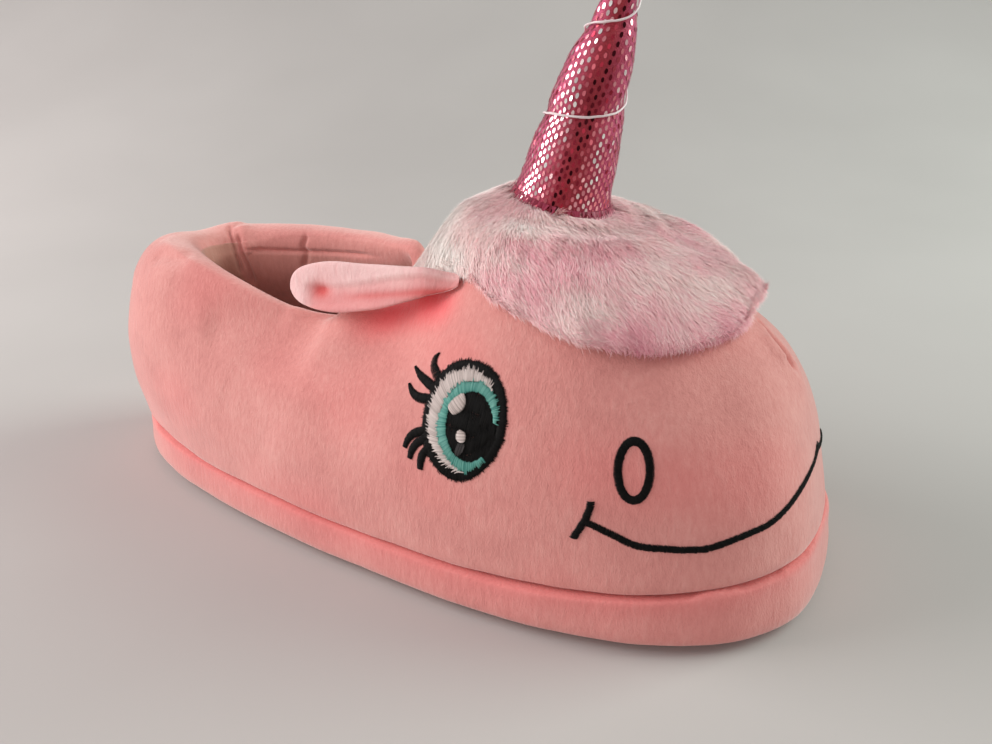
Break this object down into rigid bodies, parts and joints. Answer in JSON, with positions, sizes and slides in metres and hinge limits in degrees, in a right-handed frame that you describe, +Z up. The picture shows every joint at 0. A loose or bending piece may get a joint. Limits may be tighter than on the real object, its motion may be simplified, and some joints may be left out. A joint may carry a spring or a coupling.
{
  "type": "animal slipper",
  "caption": "Padded plush slipper with a horned animal's head over the toes, a fur forelock, stuffed ears and a soft band round the sole.",
  "frame": {"origin": "middle of the overall length and width, on the floor that the outsole stands on", "axes": "+X towards the toe, +Y towards the slipper's left side, +Z up"},
  "size_m": [0.2878, 0.122, 0.1872],
  "materials": {
    "plush": "short salmon-pink plush",
    "fur": "long pale-pink fur",
    "horn": "rose cloth with glossy foil dots",
    "thread": "pale satin thread",
    "lining": "soft brushed footbed",
    "outsole": "non-slip sole cloth"
  },
  "bodies": {
    "root": {"outsole": "outsole", "midsole": "plush", "insole": "lining", "upper": "plush", "forelock": "fur", "horn": "horn", "horn_thread": "thread", "ear_right": "plush", "ear_left": "plush"}
  },
  "joints": []
}
